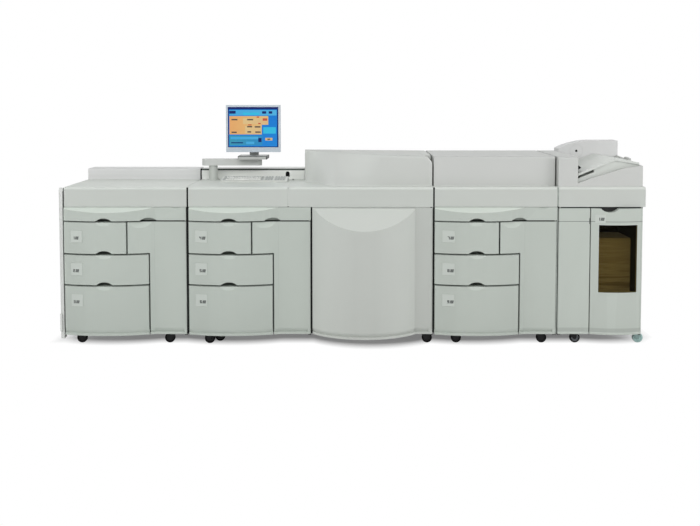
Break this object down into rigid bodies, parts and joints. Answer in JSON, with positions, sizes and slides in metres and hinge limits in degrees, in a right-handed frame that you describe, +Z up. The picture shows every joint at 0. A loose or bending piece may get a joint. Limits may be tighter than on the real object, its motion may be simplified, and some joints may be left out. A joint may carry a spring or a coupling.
{
  "type": "digital production printer line",
  "caption": "Sheet-fed digital production printer: docked paper supplies with drawers, marking engine, operator station and finisher with stacker.",
  "frame": {"origin": "on the floor, under the middle of the line's overall box", "axes": "+X to the right seen from the front, along the line of modules; +Y from the front to the back; +Z up"},
  "size_m": [3.967, 0.9649, 1.6279],
  "materials": {
    "body": "fine grained moulded plastic",
    "cover": "fine grained moulded plastic",
    "frame": "powder coated sheet",
    "tray": "powder coated sheet",
    "window": "smoked",
    "paper": "cut sheets, edge on",
    "monitor": "fine grained moulded plastic",
    "screen": "lit display",
    "keyboard": "keys in a moulded case",
    "steel": "black lacquer",
    "wheel": "polyurethane tread"
  },
  "bodies": {
    "line": {"supply_1_frame": "frame", "supply_1_cover": "cover", "supply_1_rear_cover": "cover", "supply_1_trim": "body", "supply_2_frame": "frame", "supply_2_cover": "cover", "supply_2_rear_cover": "cover", "supply_2_trim": "body", "supply_3_frame": "frame", "supply_3_cover": "cover", "supply_3_cabinet": "cover", "supply_3_trim": "body", "engine_frame": "frame", "engine_cover": "cover", "engine_cabinet": "cover", "finisher_frame": "frame", "finisher_cover": "cover", "exit_column": "cover", "tray_housing": "cover", "output_tray": "cover", "arched_cover": "cover", "stacker_platform": "tray", "paper_stack": "paper", "station_post": "cover", "keyboard": "keyboard", "left_cover": "body", "rear_panels": "body", "front_caster_forks": "steel", "front_caster_wheels": "wheel", "rear_caster_forks": "steel", "rear_caster_wheels": "wheel"},
    "supply_1_top_drawer": {"supply_1_top_drawer": "body"},
    "supply_1_middle_drawer": {"supply_1_middle_drawer": "body"},
    "supply_1_bottom_drawer": {"supply_1_bottom_drawer": "body"},
    "supply_1_door": {"supply_1_door": "body"},
    "supply_2_top_drawer": {"supply_2_top_drawer": "body"},
    "supply_2_middle_drawer": {"supply_2_middle_drawer": "body"},
    "supply_2_bottom_drawer": {"supply_2_bottom_drawer": "body"},
    "supply_2_door": {"supply_2_door": "body"},
    "supply_3_top_drawer": {"supply_3_top_drawer": "body"},
    "supply_3_middle_drawer": {"supply_3_middle_drawer": "body"},
    "supply_3_bottom_drawer": {"supply_3_bottom_drawer": "body"},
    "supply_3_door": {"supply_3_door": "body"},
    "engine_door": {"engine_door": "body"},
    "narrow_door": {"narrow_door": "body"},
    "stacker_door": {"stacker_door": "body", "stacker_window": "window"},
    "arm": {"station_arm": "cover"},
    "stand": {"monitor_stand": "cover"},
    "monitor": {"monitor": "monitor", "screen": "screen"}
  },
  "joints": [
    {"name": "supply_1_top_drawer_slide", "type": "slide", "parent": "line", "child": "supply_1_top_drawer", "axis": [0, -1, 0], "range_m": [0, 0.45]},
    {"name": "supply_1_middle_drawer_slide", "type": "slide", "parent": "line", "child": "supply_1_middle_drawer", "axis": [0, -1, 0], "range_m": [0, 0.45]},
    {"name": "supply_1_bottom_drawer_slide", "type": "slide", "parent": "line", "child": "supply_1_bottom_drawer", "axis": [0, -1, 0], "range_m": [0, 0.45]},
    {"name": "supply_1_door_hinge", "type": "hinge", "parent": "line", "child": "supply_1_door", "pos_m": [-1.135, -0.3075, 0.48], "axis": [0, 0, -1], "range_deg": [-90, 0]},
    {"name": "supply_2_top_drawer_slide", "type": "slide", "parent": "line", "child": "supply_2_top_drawer", "axis": [0, -1, 0], "range_m": [0, 0.45]},
    {"name": "supply_2_middle_drawer_slide", "type": "slide", "parent": "line", "child": "supply_2_middle_drawer", "axis": [0, -1, 0], "range_m": [0, 0.45]},
    {"name": "supply_2_bottom_drawer_slide", "type": "slide", "parent": "line", "child": "supply_2_bottom_drawer", "axis": [0, -1, 0], "range_m": [0, 0.45]},
    {"name": "supply_2_door_hinge", "type": "hinge", "parent": "line", "child": "supply_2_door", "pos_m": [-0.304, -0.3075, 0.48], "axis": [0, 0, -1], "range_deg": [-90, 0]},
    {"name": "supply_3_top_drawer_slide", "type": "slide", "parent": "line", "child": "supply_3_top_drawer", "axis": [0, -1, 0], "range_m": [0, 0.45]},
    {"name": "supply_3_middle_drawer_slide", "type": "slide", "parent": "line", "child": "supply_3_middle_drawer", "axis": [0, -1, 0], "range_m": [0, 0.45]},
    {"name": "supply_3_bottom_drawer_slide", "type": "slide", "parent": "line", "child": "supply_3_bottom_drawer", "axis": [0, -1, 0], "range_m": [0, 0.45]},
    {"name": "supply_3_door_hinge", "type": "hinge", "parent": "line", "child": "supply_3_door", "pos_m": [1.347, -0.3075, 0.48], "axis": [0, 0, -1], "range_deg": [-90, 0]},
    {"name": "engine_door_hinge", "type": "hinge", "parent": "line", "child": "engine_door", "pos_m": [0.514, -0.3055, 0.5], "axis": [0, 0, -1], "range_deg": [-95, 0]},
    {"name": "narrow_door_hinge", "type": "hinge", "parent": "line", "child": "narrow_door", "pos_m": [1.378, -0.3075, 0.5], "axis": [0, 0, -1], "range_deg": [0, 95]},
    {"name": "stacker_door_hinge", "type": "hinge", "parent": "line", "child": "stacker_door", "pos_m": [1.923, -0.3075, 0.5], "axis": [0, 0, 1], "range_deg": [0, 100]},
    {"name": "arm_swivel", "type": "hinge", "parent": "line", "child": "arm", "pos_m": [-1.0205, 0.2375, 1.21], "axis": [0, 0, 1], "range_deg": [-60, 45]},
    {"name": "monitor_swivel", "type": "hinge", "parent": "arm", "child": "stand", "pos_m": [-0.7275, 0.2375, 1.24], "axis": [0, 0, 1], "range_deg": [-45, 45]},
    {"name": "monitor_tilt", "type": "hinge", "parent": "stand", "child": "monitor", "pos_m": [-0.7275, 0.2815, 1.39], "axis": [1, 0, 0], "range_deg": [-20, 5]}
  ]
}
